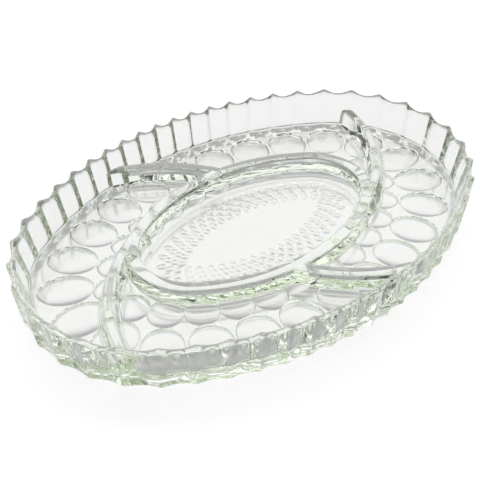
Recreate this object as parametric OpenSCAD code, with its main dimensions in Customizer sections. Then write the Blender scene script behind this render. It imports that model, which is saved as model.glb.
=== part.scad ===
// Five-part oval relish tray in clear pressed glass.
// The real tray is one moulding; each node here is one region of it that can be told apart
// by eye, and the regions meet face to face without overlapping.
// X runs along the length, the tray stands on z = 0 and the origin is at the middle of its base.

/* [Outline] */
// Length over the rim points at both ends
tray_length = 330; // [290:1:370]
// Width over the rim points at both sides
tray_width = 227; // [210:1:250]
// Height from the table to the rim points
tray_height = 32; // [26:1:44]
// How much the radius of the arcs that round the two ends falls short of half the width
end_arc_shortfall = 21.5; // [15:0.5:30]
// How far the foot of the wall lies inside the rim, all round
base_inset = 4; // [2:0.5:6]

/* [Fluted wall] */
// Number of flutes round the wall
flute_count = 48; // [36:4:60]
// Depth of each hollow flute, from its ridges
flute_depth = 2.4; // [1.2:0.1:3]
// Drop of the rim between two rim points
rim_drop = 3; // [1:0.1:5]
// From the rim points in to the wall's inner face, at the rim
rim_inset = 5.8; // [5:0.1:7.5]
// From the rim points in to the wall's inner face, at the floor
foot_inset = 10.5; // [9.5:0.1:12]

/* [Floor] */
// Thickness of the floor
floor_thickness = 8; // [6.5:0.1:10]
// Number of hollow thumbprints in each of the two rows under the floor
print_count = 24; // [18:2:24]
// Depth of the thumbprints
print_depth = 1.4; // [0.6:0.1:1.8]
// Half length of the large thumbprints, measured towards the rim
large_print_reach = 17.2; // [12:0.2:17.6]
// Half width of the large thumbprints, measured along the row
large_print_half_width = 13.4; // [9:0.2:13.6]
// From the rim points in to the middle of the large thumbprints, at the ends of the tray
large_row_end_inset = 32.2; // [31:0.1:33]
// From the rim points in to the middle of the large thumbprints, at the sides of the tray
large_row_side_inset = 29.7; // [28.5:0.1:30.5]
// How much the radius of the end arcs of their row falls short of its half width
large_row_arc_shortfall = 20; // [16:0.5:24]
// Half length of the small thumbprints, measured towards the rim
small_print_reach = 8.6; // [5:0.2:9]
// Half width of the small thumbprints, measured along the row
small_print_half_width = 9.2; // [6:0.2:9.6]
// From the outside of the centre ring out to the middle of the small thumbprints, at the ends
small_row_end_offset = 15.1; // [14.5:0.1:16.5]
// From the outside of the centre ring out to the middle of the small thumbprints, at the sides
small_row_side_offset = 3.9; // [3.5:0.1:4.5]
// How much the radius of the end arcs of their row falls short of its half width
small_row_arc_shortfall = 27; // [24:0.5:29]

/* [Medallion] */
// Thickness of the studded medallion under the middle of the floor
medallion_thickness = 2.6; // [1.6:0.1:3.4]
// From the outside of the centre ring to the edge of the medallion
medallion_inset = 17; // [16:0.5:19]
// Rows of studs round the medallion
stud_rows = 4; // [1:1:4]
// Number of studs in each row
stud_count = 36; // [24:2:36]
// Half width of each hollow stud
stud_half_width = 1.9; // [1:0.1:2]
// Depth of each hollow stud
stud_depth = 0.8; // [0.3:0.1:1]
// Distance from one row of studs to the next
stud_row_step = 4.7; // [4.4:0.1:5]
// From the outside of the centre ring to the outermost row of studs
stud_row_inset = 20.5; // [20:0.5:22]

/* [Centre ring] */
// From the rim points in to the outside of the ring's top, at the ends of the tray
end_bay = 73.5; // [71:0.5:77]
// From the rim points in to the outside of the ring's top, at the sides of the tray
side_bay = 56; // [54:0.5:58.5]
// How much the radius of the ring's end arcs falls short of half its width
ring_arc_shortfall = 15.5; // [12.5:0.5:18.5]
// Height from the table to the flat top of the ring and the dividers
ring_height = 18.2; // [14:0.2:22]
// Width of the ring's flat top
ring_top_width = 8; // [5:0.1:10]
// How far the foot of the ring and of the dividers stands out from their tops on each side
side_draft = 1.2; // [0.5:0.1:2]
// How far the foot of the ring stands out from its top on the inside
inner_draft = 3; // [1:0.1:4.5]

/* [Dividers] */
// Width of the flat tops of the dividers
divider_top_width = 8; // [4:0.1:10]
// Radius of the two long dividers that run on from the ring's end arcs to the ends of the wall
long_divider_radius = 123; // [118:1:128]
// Direction, on the ring's end arc, in which a long divider runs on from it
long_divider_turn = 66; // [62:1:70]
// Radius of the two short dividers that run from the ring to the sides of the wall
short_divider_radius = 109; // [104:1:114]
// How far back along the tray the arc of a short divider is centred
short_divider_setback = 81.5; // [78:0.5:85]
// How far in from the side of the ring the arc of a short divider is centred
short_divider_inset = 59.8; // [57:0.1:62]

/* [Hidden] */
$fn = 120;
glass = [0.86, 0.9, 0.87, 0.55];
pale_glass = [0.8, 0.87, 0.83, 0.6];
// How far a cutter runs past the face that it opens
overrun = 2;
half_length = tray_length / 2;
half_width = tray_width / 2;
end_radius = half_width - end_arc_shortfall;
ring_half_length = half_length - end_bay;
ring_half_width = half_width - side_bay;
ring_end_radius = ring_half_width - ring_arc_shortfall;
large_row_half_length = half_length - large_row_end_inset;
large_row_half_width = half_width - large_row_side_inset;
large_row_end_radius = large_row_half_width - large_row_arc_shortfall;
small_row_half_length = ring_half_length + small_row_end_offset;
small_row_half_width = ring_half_width + small_row_side_offset;
small_row_end_radius = small_row_half_width - small_row_arc_shortfall;
ring_rise = ring_height - floor_thickness;
wall_rise = tray_height - floor_thickness;
wall_spread = foot_inset - rim_inset;
flute_step = 360 / flute_count;
// Flat strips across each flute, and round the centre ring
flute_strips = 8;
ring_strips = 240;
// Directions, seen from the arc's own centre, between which each divider is swept
long_divider_start = -long_divider_turn;
long_divider_sweep = 90;
short_divider_start = 26;
short_divider_sweep = 64;
// Sweep of the thin band that hollows out a thumbprint
print_band_sweep = 50;

// An oval is made of two end arcs of radius r and two wider side arcs, all tangent.
// Distance of a side arc's centre past the long axis
function side_centre(a, b, r) = ((a - r) * (a - r) - (b - r) * (b - r)) / (2 * (b - r));
// Direction, from the end arc's centre, in which the end arc gives way to the side arc
function split_angle(a, b, r) = atan2(side_centre(a, b, r), a - r);
// Distance from the oval's middle to its outline in one direction of the first quarter
function quarter_reach(a, b, r, angle) =
    let (c = a - r, d = side_centre(a, b, r), split = split_angle(a, b, r),
         meet = atan2(r * sin(split), c + r * cos(split)))
    angle < meet ? c * cos(angle) + sqrt(r * r - pow(c * sin(angle), 2))
                 : sqrt(pow(b + d, 2) - pow(d * cos(angle), 2)) - d * sin(angle);
// The same in any direction
function oval_reach(a, b, r, angle) =
    quarter_reach(a, b, r, atan2(abs(sin(angle)), abs(cos(angle))));
// Length of the end arc and of the whole outline within one quarter
function end_run(a, b, r) = r * split_angle(a, b, r) * PI / 180;
function quarter_run(a, b, r) =
    end_run(a, b, r) + (b + side_centre(a, b, r)) * (90 - split_angle(a, b, r)) * PI / 180;
// Point and outward direction at a distance along the first quarter, from the long axis
function quarter_point(a, b, r, run) =
    let (d = side_centre(a, b, r), first = end_run(a, b, r),
         turn = run < first ? run / r * 180 / PI
                            : split_angle(a, b, r) + (run - first) / (b + d) * 180 / PI)
    run < first ? [a - r + r * cos(turn), r * sin(turn), turn]
                : [(b + d) * cos(turn), (b + d) * sin(turn) - d, turn];
// Point and outward direction at a share of the way round, at even steps along the outline
function oval_point(a, b, r, share) =
    let (run = 4 * quarter_run(a, b, r) * share, quarter = floor(share * 4),
         past = run - quarter * quarter_run(a, b, r), odd = quarter % 2 == 1,
         p = quarter_point(a, b, r, odd ? quarter_run(a, b, r) - past : past),
         left = quarter == 1 || quarter == 2, lower = quarter >= 2)
    [left ? -p[0] : p[0], lower ? -p[1] : p[1], atan2(lower ? -sin(p[2]) : sin(p[2]),
                                                    left ? -cos(p[2]) : cos(p[2]))];

// Radius of a circle that has a chord with this half length and this much rise
function bow_radius(half_chord, rise) = (half_chord * half_chord + rise * rise) / (2 * rise);

// Flat oval with half axes a and b
module oval(a, b, r) {
    d = side_centre(a, b, r);
    far = a + b;
    for (side = [-1, 1]) {
        translate([side * (a - r), 0]) circle(r);
        intersection() {
            translate([0, -side * d]) circle(b + d);
            polygon([[-(a - r), 0], [a - r, 0], [(a - r) * (1 + far / d), side * far],
                     [-(a - r) * (1 + far / d), side * far]]);
        }
    }
}

// Solid oval whose side widens by spread on its way up
module oval_block(a, b, r, height, spread) {
    d = side_centre(a, b, r);
    far = a + b;
    for (side = [-1, 1]) {
        translate([side * (a - r), 0, 0]) cylinder(h = height, r1 = r, r2 = r + spread);
        intersection() {
            translate([0, -side * d, 0]) cylinder(h = height, r1 = b + d, r2 = b + d + spread);
            linear_extrude(height)
                polygon([[-(a - r), 0], [a - r, 0], [(a - r) * (1 + far / d), side * far],
                         [-(a - r) * (1 + far / d), side * far]]);
        }
    }
}

// The same block run on past its top
module oval_cut(a, b, r, height, spread) {
    oval_block(a, b, r, height + overrun, spread * (height + overrun) / height);
}

// The space inside the wall, above the floor
module cavity() {
    translate([0, 0, floor_thickness])
        oval_cut(half_length - foot_inset, half_width - foot_inset, end_radius - foot_inset,
                 wall_rise, wall_spread);
}

// The centre ring's outside, filled and run on past its top
module ring_block() {
    a = ring_half_length + side_draft;
    b = ring_half_width + side_draft;
    translate([0, 0, floor_thickness])
        oval_cut(a, b, ring_end_radius + side_draft, ring_rise, -side_draft);
}

// How far the wall's inner face lies inside the rim points at one height
function wall_inset(z) = foot_inset - wall_spread * max(z - floor_thickness, 0) / wall_rise;
// Point on the line of ridges, at one inset from the rim points
function ridge_point(i, inset) =
    oval_reach(half_length - inset, half_width - inset, end_radius - inset, i * flute_step)
    * [cos(i * flute_step), sin(i * flute_step)];
// Hollow of a flute at a share of the way across it: none at its ridges, one in its middle
function hollow(share) = 4 * share * (1 - share);
// Loop of points round the outside of the wall, in and out with the flutes
function fluted_loop(inset, height, drop) =
    [for (i = [0:flute_count - 1], strip = [0:flute_strips - 1])
        let (share = strip / flute_strips, p = ridge_point(i, inset), q = ridge_point(i + 1, inset),
             inward = [p[1] - q[1], q[0] - p[0]] / norm(q - p),
             at = p + share * (q - p) + flute_depth * hollow(share) * inward)
        [at[0], at[1], height - drop * hollow(share)]];
// Loop of points round the inside of the wall
function inner_loop(height, drop) =
    [for (i = [0:flute_count - 1], strip = [0:flute_strips - 1])
        let (share = strip / flute_strips, angle = (i + share) * flute_step,
             z = height - drop * hollow(share), inset = wall_inset(z),
             reach = oval_reach(half_length - inset, half_width - inset, end_radius - inset, angle))
        [reach * cos(angle), reach * sin(angle), z]];
// Loop of points round the centre ring, at one inset from the outside of its top
function ring_loop(inset, height) =
    [for (i = [0:ring_strips - 1])
        let (angle = i * 360 / ring_strips,
             reach = oval_reach(ring_half_length - inset, ring_half_width - inset,
                                ring_end_radius - inset, angle))
        [reach * cos(angle), reach * sin(angle), height]];

// Closed band through loops of equally many points, each joined to the next and the last
// to the first
module loop_band(loops) {
    count = len(loops[0]);
    rows = len(loops);
    polyhedron(
        points = [for (loop = loops) each loop],
        faces = [for (row = [0:rows - 1], i = [0:count - 1])
            let (here = row * count, next = (row + 1) % rows * count, j = (i + 1) % count)
            each [[here + i, next + j, here + j], [here + i, next + i, next + j]]]);
}

// Thin curved band, bowed both ways, whose top hollows one oval thumbprint from below
module print_cutter(reach, half_wide) {
    long_radius = bow_radius(reach, print_depth);
    cross_radius = bow_radius(half_wide, print_depth);
    band = 2 * print_depth + overrun;
    translate([0, 0, print_depth - cross_radius]) rotate([0, 90, 0])
        rotate([0, 0, 180 - print_band_sweep / 2]) rotate_extrude(angle = print_band_sweep)
            intersection() {
                translate([cross_radius - long_radius, 0]) circle(long_radius);
                translate([cross_radius - band, -reach - overrun])
                    square([band + overrun, 2 * (reach + overrun)]);
            }
}

module outer_wall() {
    color(glass)
    loop_band([fluted_loop(base_inset, 0, 0), fluted_loop(0, tray_height, rim_drop),
               inner_loop(tray_height, rim_drop), inner_loop(floor_thickness, 0),
               inner_loop(0, 0)]);
}

module medallion_blank(height) {
    linear_extrude(height)
        oval(ring_half_length - medallion_inset, ring_half_width - medallion_inset,
             ring_end_radius - medallion_inset);
}

module floor() {
    color(pale_glass)
    difference() {
        linear_extrude(floor_thickness)
            oval(half_length - foot_inset, half_width - foot_inset, end_radius - foot_inset);
        translate([0, 0, -overrun]) medallion_blank(medallion_thickness + overrun);
        for (i = [0:print_count - 1]) {
            large = oval_point(large_row_half_length, large_row_half_width,
                               large_row_end_radius, i / print_count);
            small = oval_point(small_row_half_length, small_row_half_width,
                               small_row_end_radius, (i + 0.5) / print_count);
            translate([large[0], large[1], 0]) rotate([0, 0, large[2]])
                print_cutter(large_print_reach, large_print_half_width);
            translate([small[0], small[1], 0]) rotate([0, 0, small[2]])
                print_cutter(small_print_reach, small_print_half_width);
        }
    }
}

module medallion() {
    stud_radius = bow_radius(stud_half_width, stud_depth);
    color(glass)
    difference() {
        medallion_blank(medallion_thickness);
        for (row = [0:stud_rows - 1], i = [0:stud_count - 1]) {
            inset = stud_row_inset + row * stud_row_step;
            stud = oval_point(ring_half_length - inset, ring_half_width - inset,
                              ring_end_radius - inset, (i + (row % 2) / 2) / stud_count);
            translate([stud[0], stud[1], stud_depth - stud_radius])
                sphere(r = stud_radius, $fn = 24);
        }
    }
}

module centre_ring() {
    color(pale_glass)
    loop_band([ring_loop(-side_draft, floor_thickness), ring_loop(0, ring_height),
               ring_loop(ring_top_width, ring_height),
               ring_loop(ring_top_width + inner_draft, floor_thickness)]);
}

// Curved wall of even height, trimmed to the outer wall and to the outside of the ring
module divider(centre, radius, start, sweep) {
    top = divider_top_width / 2;
    foot = top + side_draft;
    difference() {
        intersection() {
            translate([centre[0], centre[1], floor_thickness]) rotate([0, 0, start])
                rotate_extrude(angle = sweep)
                    polygon([[radius - foot, 0], [radius + foot, 0], [radius + top, ring_rise],
                             [radius - top, ring_rise]]);
            cavity();
        }
        ring_block();
    }
}

// The middle of the long divider's top is tangent to the middle of the ring's end arc
module long_divider() {
    reach = long_divider_radius - ring_end_radius + ring_top_width / 2;
    divider([ring_half_length - ring_end_radius - reach * cos(long_divider_turn),
             reach * sin(long_divider_turn)], long_divider_radius,
            long_divider_start, long_divider_sweep);
}

module short_divider() {
    divider([-short_divider_setback, ring_half_width - short_divider_inset], short_divider_radius,
            short_divider_start, short_divider_sweep);
}

module rear_divider() {
    color(pale_glass) short_divider();
}

module right_divider() {
    color(pale_glass) long_divider();
}

module front_divider() {
    color(pale_glass) rotate([0, 0, 180]) short_divider();
}

module left_divider() {
    color(pale_glass) rotate([0, 0, 180]) long_divider();
}

outer_wall();
floor();
medallion();
centre_ring();
rear_divider();
right_divider();
front_divider();
left_divider();
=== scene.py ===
import bpy
import math
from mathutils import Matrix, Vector


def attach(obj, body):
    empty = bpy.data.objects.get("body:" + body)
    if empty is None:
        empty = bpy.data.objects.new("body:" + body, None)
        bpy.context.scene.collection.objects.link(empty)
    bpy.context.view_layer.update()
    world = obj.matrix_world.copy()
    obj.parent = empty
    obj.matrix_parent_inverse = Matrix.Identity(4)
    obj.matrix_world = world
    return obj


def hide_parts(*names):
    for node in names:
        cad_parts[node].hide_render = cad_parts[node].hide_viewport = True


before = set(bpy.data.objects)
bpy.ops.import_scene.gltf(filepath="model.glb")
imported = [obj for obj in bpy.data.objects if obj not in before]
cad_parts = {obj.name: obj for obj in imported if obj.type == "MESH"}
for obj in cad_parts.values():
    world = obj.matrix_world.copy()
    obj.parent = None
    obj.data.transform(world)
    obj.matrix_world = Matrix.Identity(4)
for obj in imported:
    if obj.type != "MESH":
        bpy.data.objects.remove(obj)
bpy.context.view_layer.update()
scene = bpy.context.scene

# Body: the leaning fluted wall with its scalloped rim, and the thick floor. The real tray is one
# pressing of clear glass. Its body is one closed sweep round the oval, from the middle of the
# underside up the outside, over the rim and down to the middle of the floor.
mm = 0.001
full_turn = 2 * math.pi
weld_distance = 0.000001
tray_oval = (165, 113.5, 92)  # half length, half width and end radius in mm, as in all ovals here
flutes, columns_per_flute = 48, 16
flute_depth, rim_drop = 2.4, 3  # in mm, half way between two ridges
ridge_rounding = 0.18  # 0 would leave the ridges sharp
# Inset and height in mm, then the share that a point takes of the flute depth, of the rim drop and
# of the way out from the middle.
body_points = [
    (60, 0, 0, 0, 0), (60, 0, 0, 0, 1), (7, 0, 0.5, 0, 1), (5.4, 0, 0.9, 0, 1),
    (4.6, 0.15, 1, 0, 1), (4.1, 0.6, 1, 0, 1), (3.9, 1.2, 1, 0, 1), (3.0, 8, 1, 0.1, 1),
    (1.5, 20, 1, 0.5, 1), (0.4, 29.4, 1, 1, 1), (0.35, 30.1, 1, 1, 1), (0.55, 30.8, 1, 1, 1),
    (1.0, 31.4, 1, 1, 1), (1.7, 31.85, 1, 1, 1), (2.5, 32, 0.8, 1, 1), (3.3, 31.9, 0.6, 1, 1),
    (4.1, 31.6, 0.4, 1, 1), (4.8, 31.1, 0.2, 1, 1), (5.4, 30.4, 0.1, 1, 1), (5.9, 29.5, 0, 1, 1),
    (6.2, 28.5, 0, 1, 1), (8.5, 18, 0, 0.4, 1), (9.9, 11, 0, 0.1, 1), (10.3, 9.4, 0, 0, 1),
    (10.7, 8.7, 0, 0, 1), (11.4, 8.2, 0, 0, 1), (12.4, 8, 0, 0, 1), (60, 8, 0, 0, 1),
    (60, 8, 0, 0, 0)]


class Field:
    """A number in a node tree. A sum on it adds Math nodes to the same tree."""

    def __init__(self, tree, socket):
        self.tree, self.socket = tree, socket

    def math(self, operation, *others):
        node = self.tree.nodes.new("ShaderNodeMath")
        node.operation = operation
        for slot, value in zip(node.inputs, (self, *others)):
            feed(self.tree, slot, value)
        return Field(self.tree, node.outputs[0])

    def __add__(self, other): return self.math("ADD", other)
    def __sub__(self, other): return self.math("SUBTRACT", other)
    def __mul__(self, other): return self.math("MULTIPLY", other)
    def __truediv__(self, other): return self.math("DIVIDE", other)
    def __lt__(self, other): return self.math("LESS_THAN", other)
    def sin(self): return self.math("SINE")
    def cos(self): return self.math("COSINE")
    def root(self): return self.math("SQRT")
    def size(self): return self.math("ABSOLUTE")


def feed(tree, slot, value):
    """Links a field or an output to an input, or sets the input to a plain value."""
    if isinstance(value, Field):
        tree.links.new(value.socket, slot)
    elif isinstance(value, bpy.types.NodeSocket):
        tree.links.new(value, slot)
    else:
        slot.default_value = value


def put(tree, kind, settings=None, **inputs):
    """Adds a node with its settings and inputs. A _ in an input's name stands for a space."""
    node = tree.nodes.new(kind)
    for name, value in (settings or {}).items():
        setattr(node, name, value)
    for name, value in inputs.items():
        feed(tree, node.inputs[name.replace("_", " ")], value)
    return node


def new_tree(name, values):
    """A Geometry Nodes tree with named inputs, and the inputs as fields."""
    tree = bpy.data.node_groups.new(name, "GeometryNodeTree")
    tree.interface.new_socket("Geometry", in_out="OUTPUT", socket_type="NodeSocketGeometry")
    for label, kind in values.items():
        tree.interface.new_socket(label, in_out="INPUT", socket_type="NodeSocket" + kind)
    ins = tree.nodes.new("NodeGroupInput")
    return tree, {label: Field(tree, ins.outputs[label]) for label in values}


def shape_of(tree, thing):
    return put(tree, "GeometryNodeObjectInfo", {"transform_space": "ORIGINAL"},
               Object=thing).outputs["Geometry"]


def oval_inputs(oval, inset=0):
    """An oval of sizes in mm, drawn in by an inset, as inputs in metres."""
    labels = ("Half length", "Half width", "End radius")
    return {label: (size - inset) * mm for label, size in zip(labels, oval)}


def oval_reach(angle, half_length, half_width, end_radius, inset):
    """Distance from the middle to an oval of two end arcs and two side arcs, less an inset."""
    c = half_length - end_radius
    k = half_width - end_radius
    d = (c * c - k * k) / (k * 2)
    slope = (c * c + d * d).root()
    r = end_radius - inset
    across, up = angle.cos().size(), angle.sin().size()
    end = c * across + (r * r - (c * up) * (c * up)).root()
    far = half_width + d - inset
    side = (far * far - (d * across) * (d * across)).root() - d * up
    on_end = up * (c + r * c / slope) < across * (r * d / slope)
    return on_end * end + (on_end * -1 + 1) * side


def profile(name, points, closed):
    """A section as a mesh of points, in the order and with the values of body_points."""
    mesh = bpy.data.meshes.new(name)
    loop = points + points[:1] if closed else points
    mesh.from_pydata([(inset * mm, flute, height * mm)
                      for inset, height, flute, dip, reach in loop], [], [])
    for label, index in (("dip", 3), ("reach", 4)):
        layer = mesh.attributes.new(label, "FLOAT", "POINT")
        layer.data.foreach_set("value", [point[index] for point in loop])
    return bpy.data.objects.new(name, mesh)


def sample(tree, shape, row, label=None):
    """The position or a named value of the section point that a row stands for."""
    node = tree.nodes.new("GeometryNodeSampleIndex")
    if label:
        node.data_type = "FLOAT"
        value = put(tree, "GeometryNodeInputNamedAttribute", {"data_type": "FLOAT"},
                    Name=label).outputs["Attribute"]
    else:
        node.data_type = "FLOAT_VECTOR"
        value = tree.nodes.new("GeometryNodeInputPosition").outputs[0]
    feed(tree, node.inputs["Geometry"], shape)
    feed(tree, node.inputs["Value"], value)
    feed(tree, node.inputs["Index"], row)
    return node.outputs["Value"]


def swept_grid(tree, section, columns):
    """A grid with one row for each section point; gives its column and the point's values."""
    shape = shape_of(tree, section)
    rows = Field(tree, put(tree, "GeometryNodeAttributeDomainSize", {"component": "MESH"},
                           Geometry=shape).outputs["Point Count"])
    grid = put(tree, "GeometryNodeMeshGrid", Vertices_X=columns, Vertices_Y=rows)
    index = Field(tree, tree.nodes.new("GeometryNodeInputIndex").outputs[0])
    column = (index / rows).math("FLOOR")
    row = index - column * rows
    point = put(tree, "ShaderNodeSeparateXYZ", Vector=sample(tree, shape, row))
    inset, flute, height = (Field(tree, point.outputs[i]) for i in range(3))
    dip, reach = (Field(tree, sample(tree, shape, row, label)) for label in ("dip", "reach"))
    return grid.outputs["Mesh"], column, inset, height, (flute, dip, reach)


def close_and_end(tree, mesh, place, surface):
    """Places the grid, joins its seam and poles, and numbers the surface for the creases."""
    mesh = put(tree, "GeometryNodeSetPosition", Geometry=mesh, Position=place).outputs[0]
    mesh = put(tree, "GeometryNodeMergeByDistance", Geometry=mesh,
               Distance=weld_distance).outputs[0]
    mesh = put(tree, "GeometryNodeStoreNamedAttribute", {"data_type": "FLOAT", "domain": "FACE"},
               Geometry=mesh, Name="surface", Value=surface).outputs[0]
    feed(tree, tree.nodes.new("NodeGroupOutput").inputs[0], mesh)


def grown(name, tree, values):
    """An object that carries the tree, with its inputs set by socket identifier."""
    thing = bpy.data.objects.new(name, bpy.data.meshes.new(name))
    scene.collection.objects.link(thing)
    modifier = thing.modifiers.new("Grow", "NODES")
    modifier.node_group = tree
    for item in tree.interface.items_tree:
        if item.item_type == "SOCKET" and item.in_out == "INPUT" and item.name in values:
            modifier[item.identifier] = values[item.name]
    return thing


# In the sweep, a column of the grid is one direction from the middle and a row is one point of the
# section. Half way between two ridges, the section is drawn in and the rim dips.
lathe, v = new_tree("Oval sweep", {
    "Section": "Object", "Half length": "Float", "Half width": "Float", "End radius": "Float",
    "Columns": "Int", "Flutes": "Int", "Flute depth": "Float", "Ridge": "Float",
    "Rim drop": "Float", "Surface": "Float"})
grid, column, inset, height, (flute, dip, reach) = swept_grid(
    lathe, v["Section"], v["Columns"] + 1)
turn = column / v["Columns"]
angle = turn * full_turn
share = (turn * v["Flutes"]).math("FRACT")
hollow = share * (share * -1 + 1) * 4
hollow = (hollow * hollow + v["Ridge"] * v["Ridge"]).root() - v["Ridge"]
far = reach * oval_reach(angle, v["Half length"], v["Half width"], v["End radius"],
                         inset + flute * hollow * v["Flute depth"])
place = put(lathe, "ShaderNodeCombineXYZ", X=far * angle.cos(), Y=far * angle.sin(),
            Z=height - dip * hollow * v["Rim drop"]).outputs[0]
close_and_end(lathe, grid, place, v["Surface"])
body = grown("body", lathe, {
    "Section": profile("body_section", body_points, closed=False), **oval_inputs(tray_oval),
    "Columns": flutes * columns_per_flute, "Flutes": flutes, "Flute depth": flute_depth * mm,
    "Ridge": ridge_rounding, "Rim drop": rim_drop * mm, "Surface": 1.0})

# Centre ring: the raised oval band round the middle compartment, pressed with the floor. Its sides
# are steep and its top is faintly crowned. Its foot runs out in a fillet, sunk in the floor.
ring_oval = (91.5, 57.5, 42)
ring_points = [
    (-3.4, 7.95), (-2.5, 8.05), (-1.7, 8.3), (-1.2, 8.9), (-1.05, 9.6), (-0.15, 16.8), (0.0, 17.2),
    (0.4, 17.55), (1.2, 17.85), (2.5, 18.1), (4, 18.2), (5.5, 18.1), (6.8, 17.85), (7.6, 17.55),
    (8.0, 17.2), (8.15, 16.8), (8.6, 9.6), (8.8, 8.8), (9.3, 8.25), (10, 8.05), (11, 7.95),
    (11, 7), (-3.4, 7)]
smooth_wall = {"Flutes": flutes, "Flute depth": 0.0, "Ridge": 0.0, "Rim drop": 0.0}


def plain(points):
    """Section points that keep out of the flutes and reach all the way out."""
    return [(inset, height, 0, 0, 1) for inset, height in points]


ring = grown("ring", lathe, {
    "Section": profile("ring_section", plain(ring_points), closed=True), **oval_inputs(ring_oval),
    **smooth_wall, "Columns": 480, "Surface": 2.0})

# Dividers: four curved walls as high as the ring, pressed with it and running into the wall. The
# short pair has faintly crowned tops and the long pair rounded ones. Each is a section swept along
# an arc, and front and left are rear and right turned half round.
short_half = [(6.8, 7.9), (5.8, 8.15), (5.1, 8.7), (4.85, 9.5), (4.25, 16.8), (4.1, 17.2),
              (3.7, 17.55), (2.9, 17.85), (1.6, 18.1), (0.6, 18.19)]
long_half = [(7.8, 7.9), (6.7, 8.2), (5.9, 8.9), (5.4, 10), (5.0, 12), (4.6, 14), (4.2, 15.5),
             (3.7, 16.7), (3.0, 17.6), (2.2, 18.1), (1.2, 18.2)]
foot_height, end_height = 7, 10  # bottom of the section, and the height that its ends close at
# Half section, radius, centre of the arc, all in mm, then its start and sweep in degrees.
arcs = (("short", short_half, 109, -81.5, -2.3, 31, 42),
        ("long", long_half, 123, 14.55, 77.65, -66, 68))
arc, v = new_tree("Arc sweep", {
    "Section": "Object", "Radius": "Float", "Centre X": "Float", "Centre Y": "Float",
    "Start": "Float", "Sweep": "Float", "Columns": "Int", "Surface": "Float"})
grid, column, inset, height, _ = swept_grid(arc, v["Section"], v["Columns"])
# The first and the last column shrink to one point of the section, which closes the ends.
last = v["Columns"] - 1
full = (column * -1 + 0.5 < 0) * (column < last - 0.5)
step = (column - 1).math("MAXIMUM", 0).math("MINIMUM", last - 2)
angle = v["Start"] + v["Sweep"] * step / (last - 2)
far = v["Radius"] + inset * full
place = put(arc, "ShaderNodeCombineXYZ", X=v["Centre X"] + far * angle.cos(),
            Y=v["Centre Y"] + far * angle.sin(),
            Z=(height - end_height * mm) * full + end_height * mm).outputs[0]
close_and_end(arc, grid, place, v["Surface"])
dividers = []
for kind, half, radius, centre_x, centre_y, start, sweep in arcs:
    foot = half[0][0]
    section = profile(kind + "_divider_section", plain(
        half + [(-side, height) for side, height in reversed(half)]
        + [(-foot, foot_height), (foot, foot_height)]), closed=True)
    for way, half_turn in ((1, 0), (-1, 180)):
        dividers.append(grown("%s_divider_%d" % (kind, half_turn), arc, {
            "Section": section, "Radius": radius * mm, "Centre X": way * centre_x * mm,
            "Centre Y": way * centre_y * mm, "Start": math.radians(start + half_turn),
            "Sweep": math.radians(sweep), "Columns": 120, "Surface": 4.0}))
# The plug fills the inside of the tray up to the middle of the wall's glass, and trims the ends.
plug_points = [(60, 3, 0, 0, 0), (60, 3, 0, 0, 1), (6.2, 3, 0, 0, 1), (6.2, 22, 0, 0, 1),
               (60, 22, 0, 0, 1), (60, 22, 0, 0, 0)]
plug = grown("plug", lathe, {
    "Section": profile("plug_section", plug_points, closed=False), **oval_inputs(tray_oval),
    **smooth_wall, "Columns": 384, "Surface": 3.0})

# Thumbprints: shallow oval hollows that the mould leaves in the underside, in an outer row of large
# ones and an inner row of small ones between them. Each row stands at even steps round an oval.
large_oval, small_oval = (132.7, 83.8, 63.8), (105, 58.9, 32.2)
large_half, small_half = (19, 13.6), (12, 11.3)  # half length outwards and half width, in mm
prints_in_row = 24
side_shrink = 0.15  # the share by which large prints are shorter on the long sides
whole = 1000  # a share of 1 in a section, which is scaled from mm to metres
dish, v = new_tree("Dish", {
    "Section": "Object", "Half length": "Float", "Half width": "Float", "Columns": "Int",
    "Surface": "Float"})
grid, column, inset, height, _ = swept_grid(dish, v["Section"], v["Columns"] + 1)
angle = column / v["Columns"] * full_turn
place = put(dish, "ShaderNodeCombineXYZ", X=inset * v["Half length"] * angle.cos(),
            Y=inset * v["Half width"] * angle.sin(), Z=height).outputs[0]
close_and_end(dish, grid, place, v["Surface"])


def bowl(name, steps, fullness, depth, slope):
    """Section of a hollow, from below the table to its top: share of its half width and height."""
    points = [(0, -1), (whole, -1)]
    for i in range(steps):
        t = i / (steps - 1) * math.pi / 2
        points.append((math.cos(t) ** fullness * whole, depth * math.sin(t) ** slope))
    return profile(name, plain(points), closed=False)


def hollow_cutter(name, section, half, columns, surface):
    return grown(name, dish, {"Section": section, "Half length": half[0] * mm,
                              "Half width": half[1] * mm, "Columns": columns, "Surface": surface})


print_section = bowl("print_section", steps=15, fullness=0.55, depth=1.45, slope=1.25)
large = hollow_cutter("large_print", print_section, large_half, columns=64, surface=5.0)
small = hollow_cutter("small_print", print_section, small_half, columns=48, surface=5.0)

# The oval of a row carries two points for each one counted. A point takes a hollow where its number
# plus Offset can be divided by Every, which is 2 or 4, so the next remainder is 1/4 or more.
rounding_guard, well_under_next = 0.01, 0.125
row, v = new_tree("Row round an oval", {
    "Cutter": "Object", "Half length": "Float", "Half width": "Float", "End radius": "Float",
    "Count": "Int", "Offset": "Int", "Every": "Int", "Side shrink": "Float"})
oval = put(row, "GeometryNodeCurvePrimitiveCircle", Resolution=720, Radius=1.0).outputs[0]
start = put(row, "ShaderNodeSeparateXYZ",
            Vector=row.nodes.new("GeometryNodeInputPosition").outputs[0])
angle = Field(row, start.outputs[1]).math("ARCTAN2", Field(row, start.outputs[0]))
far = oval_reach(angle, v["Half length"], v["Half width"], v["End radius"], 0)
place = put(row, "ShaderNodeCombineXYZ", X=far * angle.cos(), Y=far * angle.sin(), Z=0).outputs[0]
oval = put(row, "GeometryNodeSetPosition", Geometry=oval, Position=place).outputs[0]
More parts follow.
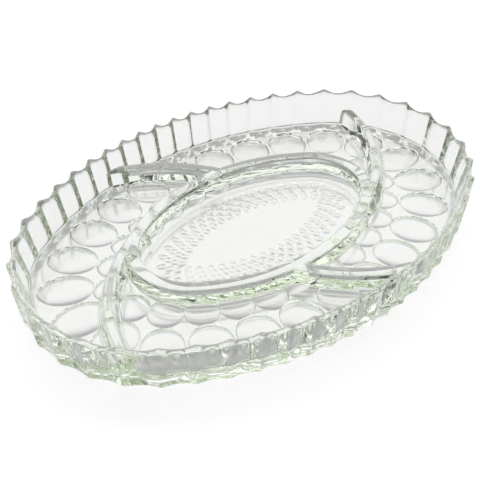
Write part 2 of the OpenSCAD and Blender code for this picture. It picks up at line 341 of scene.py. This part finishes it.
steps = put(row, "GeometryNodeResampleCurve", {"mode": "COUNT"}, Curve=oval,
            Count=v["Count"] * 2).outputs[0]
along = put(row, "ShaderNodeSeparateXYZ",
            Vector=row.nodes.new("GeometryNodeInputTangent").outputs[0])
along_x, along_y = Field(row, along.outputs[0]), Field(row, along.outputs[1])
out_turn = (along_x * -1).math("ARCTAN2", along_y)
index = Field(row, row.nodes.new("GeometryNodeInputIndex").outputs[0])
remainder = ((index + v["Offset"]) / v["Every"] + rounding_guard).math("FRACT")
pick = remainder < well_under_next
lean = along_x.size() * v["Side shrink"] * -1 + 1
points = put(row, "GeometryNodeInstanceOnPoints", Points=steps, Selection=pick,
             Instance=shape_of(row, v["Cutter"]),
             Rotation=put(row, "ShaderNodeCombineXYZ", X=0, Y=0, Z=out_turn).outputs[0],
             Scale=put(row, "ShaderNodeCombineXYZ", X=lean, Y=1, Z=1).outputs[0]).outputs[0]
real = put(row, "GeometryNodeRealizeInstances", Geometry=points).outputs[0]
feed(row, row.nodes.new("NodeGroupOutput").inputs[0], real)
rows = [grown("large_row", row, {
    "Cutter": large, **oval_inputs(large_oval), "Count": prints_in_row, "Offset": 0, "Every": 2,
    "Side shrink": side_shrink})]
# Small prints run into their neighbours, so they are cut in two turns, every other one in each.
for offset in (1, 3):
    rows.append(grown("small_row_%d" % offset, row, {
        "Cutter": small, **oval_inputs(small_oval), "Count": prints_in_row, "Offset": offset,
        "Every": 4, "Side shrink": 0.0}))

# Studs: four oval rows of small shallow hollows under the middle compartment, pressed with the
# thumbprints. Every second row is moved on by half a step, so that the studs lie in a lattice.
stud_half = (3.6, 2.4)
studs_in_row, first_inset, row_step = 36, 21.5, 4.3  # insets from the ring's oval, in mm
stud_section = bowl("stud_section", steps=7, fullness=1, depth=0.5, slope=2)
stud = hollow_cutter("stud", stud_section, stud_half, columns=16, surface=6.0)
for i in range(4):
    rows.append(grown("stud_row_%d" % i, row, {
        "Cutter": stud, **oval_inputs(ring_oval, first_inset + row_step * i),
        "Count": studs_in_row, "Offset": i % 2, "Every": 2, "Side shrink": 0.0}))

# Tray: the pieces above joined into one seamless moulding of clear soda glass, with the hollows cut
# from below. The glass is smooth, with a faint green that shows where light runs far inside it.
# Edges are creased where two surfaces meet and where the glass turns sharply.
glass_tint, tint_density = (0.66, 0.84, 0.48, 1), 4.2
crease_angle = math.radians(30)
same_surface = 0.01  # below this spread of surface numbers, both faces of an edge are of one piece
glass = bpy.data.materials.new("clear_glass")
glass.use_nodes = True
shader = glass.node_tree.nodes["Principled BSDF"]
shader.inputs["Base Color"].default_value = (1, 1, 1, 1)
shader.inputs["Roughness"].default_value = 0.0
shader.inputs["IOR"].default_value = 1.5
shader.inputs["Transmission Weight"].default_value = 1.0
tint = put(glass.node_tree, "ShaderNodeVolumeAbsorption", Color=glass_tint, Density=tint_density)
glass.node_tree.links.new(tint.outputs[0],
                          glass.node_tree.nodes["Material Output"].inputs["Volume"])
press, v = new_tree("Pressed glass", {"Material": "Material"})


def boolean(operation, first, others):
    node = put(press, "GeometryNodeMeshBoolean", {"operation": operation, "solver": "MANIFOLD"})
    if first is not None:
        press.links.new(first, node.inputs["Mesh 1"])
    for other in others:
        press.links.new(other, node.inputs["Mesh 2"])
    return node.outputs["Mesh"]


def on_edge(value):
    """Mean of a face value over the faces at an edge."""
    on_face = put(press, "GeometryNodeFieldOnDomain", {"domain": "FACE"})
    feed(press, on_face.inputs[0], value)
    at_edge = put(press, "GeometryNodeFieldOnDomain", {"domain": "EDGE"})
    feed(press, at_edge.inputs[0], on_face.outputs[0])
    return Field(press, at_edge.outputs[0])


trimmed = [boolean("INTERSECT", None, [shape_of(press, divider), shape_of(press, plug)])
           for divider in dividers]
whole_tray = boolean("UNION", None, [shape_of(press, body), shape_of(press, ring), *trimmed])
whole_tray = boolean("DIFFERENCE", whole_tray, [shape_of(press, cutters) for cutters in rows])
surface = Field(press, put(press, "GeometryNodeInputNamedAttribute", {"data_type": "FLOAT"},
                           Name="surface").outputs["Attribute"])
mean, mean_square = on_edge(surface), on_edge(surface * surface)
bend = Field(press, press.nodes.new("GeometryNodeInputMeshEdgeAngle").outputs[0])
sharp = (mean_square - mean * mean).math("GREATER_THAN", same_surface).math(
    "MAXIMUM", bend.math("GREATER_THAN", crease_angle))
smooth = put(press, "GeometryNodeSetShadeSmooth", {"domain": "FACE"},
             Geometry=whole_tray).outputs[0]
edged = put(press, "GeometryNodeSetShadeSmooth", {"domain": "EDGE"}, Geometry=smooth,
            Selection=sharp, Shade_Smooth=False).outputs[0]
real = put(press, "GeometryNodeRealizeInstances", Geometry=edged).outputs[0]
in_glass = put(press, "GeometryNodeSetMaterial", Geometry=real, Material=v["Material"]).outputs[0]
feed(press, press.nodes.new("NodeGroupOutput").inputs[0], in_glass)
maker = grown("maker", press, {"Material": glass})
graph = bpy.context.evaluated_depsgraph_get()
mesh = bpy.data.meshes.new_from_object(maker.evaluated_get(graph))
mesh.name = "tray"
mesh.materials.pop(index=0)  # the booleans leave an empty slot in front of the glass
tray = bpy.data.objects.new("tray", mesh)
scene.collection.objects.link(tray)
for thing in [maker, body, ring, plug, large, small, stud, *dividers, *rows]:
    bpy.data.objects.remove(thing)
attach(tray, "root")
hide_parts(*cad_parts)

# Floor: a plain white table, just under the tray. The camera sees it matt and white, with the
# tray's shadow. Glass sees it as satin white, so that it shows the light behind the tray in it.
table_half, table_gap = 3, 0.2 * mm
open_white, open_glow = 0.9, 0.8
dull_white, satin_white, satin_roughness, satin_share, satin_glow = 0.3, 0.95, 0.15, 0.5, 0.33
floor_mesh = bpy.data.meshes.new("studio_floor")
floor_mesh.from_pydata([(x * table_half, y * table_half, -table_gap)
                        for x, y in ((-1, -1), (1, -1), (1, 1), (-1, 1))], [], [(0, 1, 2, 3)])
floor = bpy.data.objects.new("studio_floor", floor_mesh)
scene.collection.objects.link(floor)
table = bpy.data.materials.new("white_table")
table.use_nodes = True
sheet = table.node_tree
sheet.nodes.remove(sheet.nodes["Principled BSDF"])


def grey(value):
    return (value, value, value, 1)


def blend(kind, *inputs):
    node = sheet.nodes.new(kind)
    for slot, value in zip(node.inputs, inputs):
        feed(sheet, slot, value)
    return node.outputs[0]


matt = put(sheet, "ShaderNodeBsdfDiffuse", Color=grey(open_white)).outputs[0]
bright = put(sheet, "ShaderNodeEmission", Color=grey(1), Strength=open_glow).outputs[0]
dull = put(sheet, "ShaderNodeBsdfDiffuse", Color=grey(dull_white)).outputs[0]
satin = put(sheet, "ShaderNodeBsdfGlossy", Color=grey(satin_white),
            Roughness=satin_roughness).outputs[0]
faint = put(sheet, "ShaderNodeEmission", Color=grey(1), Strength=satin_glow).outputs[0]
to_camera = blend("ShaderNodeAddShader", matt, bright)
to_glass = blend("ShaderNodeAddShader",
                 blend("ShaderNodeMixShader", satin_share, dull, satin), faint)
by_camera = sheet.nodes.new("ShaderNodeLightPath").outputs["Is Camera Ray"]
sheet.links.new(blend("ShaderNodeMixShader", by_camera, to_glass, to_camera),
                sheet.nodes["Material Output"].inputs["Surface"])
floor_mesh.materials.append(table)

# Light: one very wide softbox behind the tray, as the camera sees it, in a dim room that is plain
# white to the camera alone. Light turns many times inside pressed glass, so it gets many bounces.
azimuth, elevation, distance = math.radians(-38.96), math.radians(39.08), 0.62823
softbox_level, room_level = 1.15, 0.06
softbox_sides = (0.3, 0.85)  # cosine of the angle to its middle, at its edge and where it is full
softbox_top = (0.75, 0.9)  # sine of the elevation, where it starts to fade and where it ends
world = bpy.data.worlds.new("studio")
scene.world = world
world.use_nodes = True
room = world.node_tree
direction = room.nodes.new("ShaderNodeTexCoord").outputs["Generated"]
turned = put(room, "ShaderNodeVectorRotate", {"rotation_type": "Z_AXIS"}, Vector=direction,
             Angle=-azimuth).outputs[0]
axes = put(room, "ShaderNodeSeparateXYZ", Vector=turned)
right, away, up = (Field(room, axes.outputs[i]) for i in range(3))
ahead = away / (right * right + away * away).root()


def fade(value, span, start, end):
    node = put(room, "ShaderNodeMapRange", {"interpolation_type": "SMOOTHSTEP"}, Value=value,
               From_Min=span[0], From_Max=span[1], To_Min=start, To_Max=end)
    return Field(room, node.outputs[0])


softbox = fade(ahead, softbox_sides, 0.0, 1.0) * fade(up, softbox_top, 1.0, 0.0)
level = softbox * softbox_level + room_level
background = room.nodes["Background"]
background.inputs["Color"].default_value = grey(1)
straight = Field(room, room.nodes.new("ShaderNodeLightPath").outputs["Is Camera Ray"])
feed(room, background.inputs["Strength"], level + straight * (level * -1 + 1))
scene.cycles.max_bounces = 48
scene.cycles.glossy_bounces = 32
scene.cycles.transmission_bounces = 48

# Camera: fitted to the rim, foot, ring and dividers of the tray in the photograph, from which its
# angle, distance, focal length and middle come. The last three lengths are in pixels.
sensor_width, image_size = 36, 480
focal_length, middle_x, middle_y = 949.78, 254.37, 235.93
camera = bpy.data.objects.new("camera", bpy.data.cameras.new("camera"))
scene.collection.objects.link(camera)
scene.camera = camera
back = Vector((math.sin(azimuth) * math.cos(elevation), -math.cos(azimuth) * math.cos(elevation),
               math.sin(elevation)))
camera.location = back * distance
camera.rotation_mode = "QUATERNION"
camera.rotation_quaternion = (-back).to_track_quat("-Z", "Y")
camera.data.lens = sensor_width * focal_length / image_size
camera.data.shift_x = -(middle_x - image_size / 2) / image_size
camera.data.shift_y = (middle_y - image_size / 2) / image_size
camera.data.clip_start = 0.01
scene.view_settings.view_transform = "Standard"
